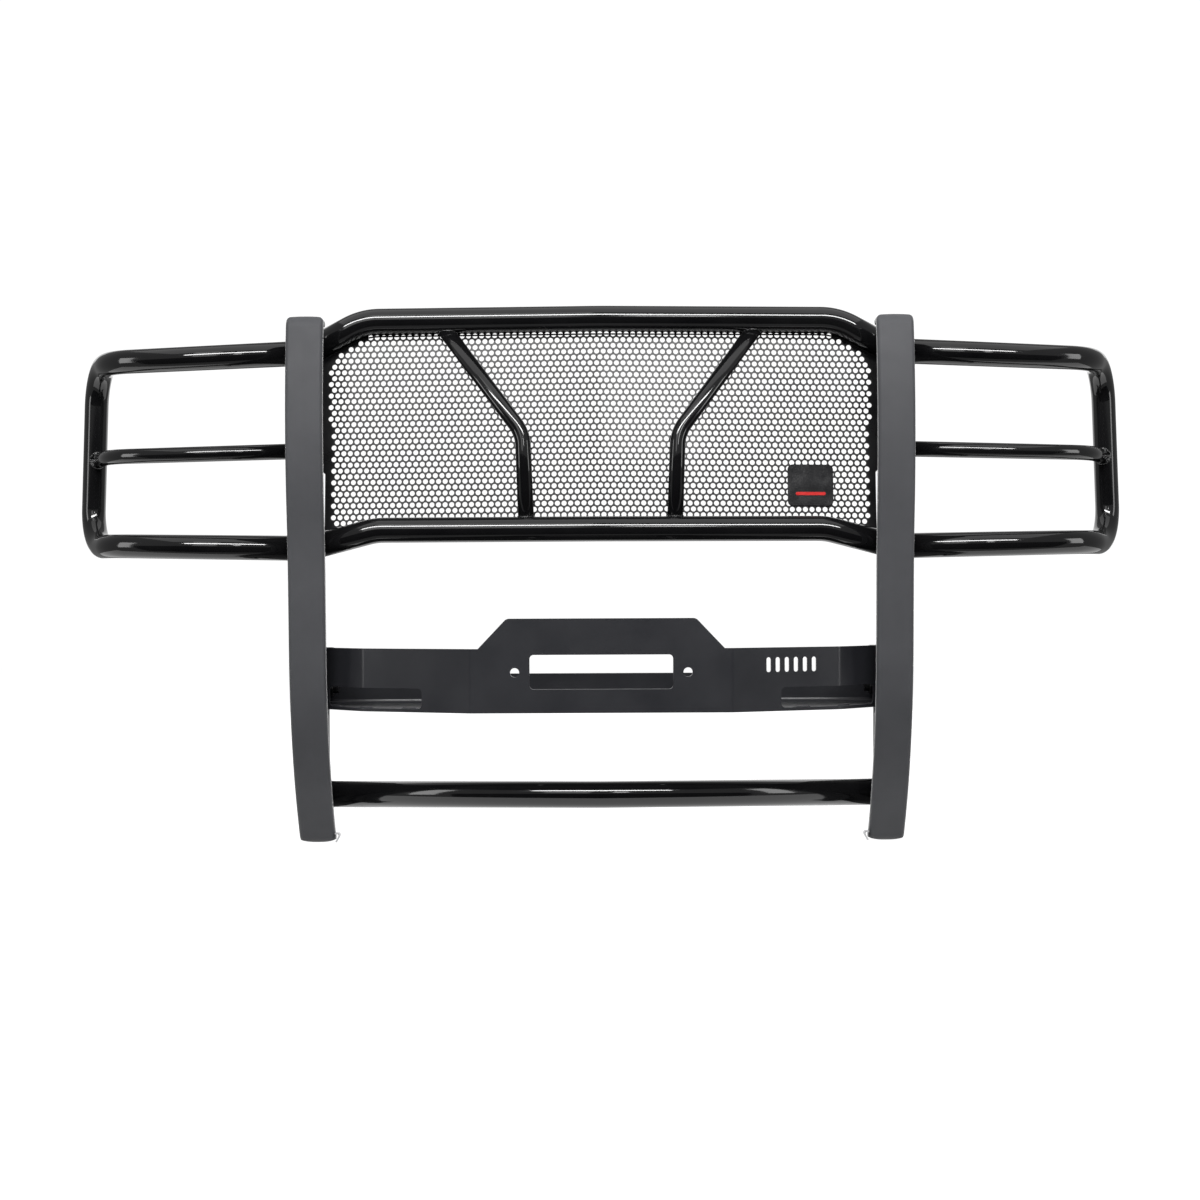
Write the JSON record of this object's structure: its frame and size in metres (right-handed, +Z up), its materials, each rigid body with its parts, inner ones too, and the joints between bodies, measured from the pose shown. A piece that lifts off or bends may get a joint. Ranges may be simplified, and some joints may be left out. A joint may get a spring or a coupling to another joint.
{
  "type": "front grille guard",
  "caption": "Tubular front grille guard for a pickup: perforated grille, rubber-faced uprights, headlight wraps and a winch tray with a fairlead opening.",
  "frame": {"origin": "middle of the footprint, at the height of the lowest point of the rubber strips", "axes": "+X to the right of someone facing the guard, -Y towards the front, +Z up"},
  "size_m": [1.6922, 0.343, 0.823],
  "materials": {
    "gloss_tube": "gloss black powder coat",
    "mesh_coat": "satin black powder coat on punched sheet",
    "plate_coat": "satin black powder coat on cut plate",
    "strip_rubber": "matt dark grey rubber",
    "dark_fastener": "black zinc",
    "bright_clip": "plain zinc",
    "badge_black": "gloss black moulding",
    "badge_red": "gloss red moulding"
  },
  "bodies": {
    "root": {"badge_accent": "badge_red", "badge_nuts": "dark_fastener", "badge_plate": "badge_black", "badge_studs": "dark_fastener", "bottom_cross_tube": "gloss_tube", "frame_bracket_bolts": "dark_fastener", "frame_bracket_nuts": "dark_fastener", "frame_bracket_washers": "dark_fastener", "left_brace": "gloss_tube", "left_frame_bracket": "plate_coat", "left_punch_sheet": "mesh_coat", "left_rubber_strip": "strip_rubber", "left_strip_end_clip": "bright_clip", "left_tray_side_plate": "plate_coat", "left_upright_flange": "plate_coat", "left_upright_web": "plate_coat", "left_wrap_hoop": "gloss_tube", "left_wrap_middle_bar": "gloss_tube", "lower_crossbar": "gloss_tube", "right_brace": "gloss_tube", "right_frame_bracket": "plate_coat", "right_punch_sheet": "mesh_coat", "right_rubber_strip": "strip_rubber", "right_strip_end_clip": "bright_clip", "right_tray_side_plate": "plate_coat", "right_upright_flange": "plate_coat", "right_upright_web": "plate_coat", "right_wrap_hoop": "gloss_tube", "right_wrap_middle_bar": "gloss_tube", "strip_nuts": "dark_fastener", "strip_studs": "dark_fastener", "tray_bolts": "dark_fastener", "tray_nuts": "dark_fastener", "tray_washers": "dark_fastener", "upper_crossbar": "gloss_tube", "winch_face_plate": "plate_coat", "winch_tray": "plate_coat"}
  },
  "joints": []
}
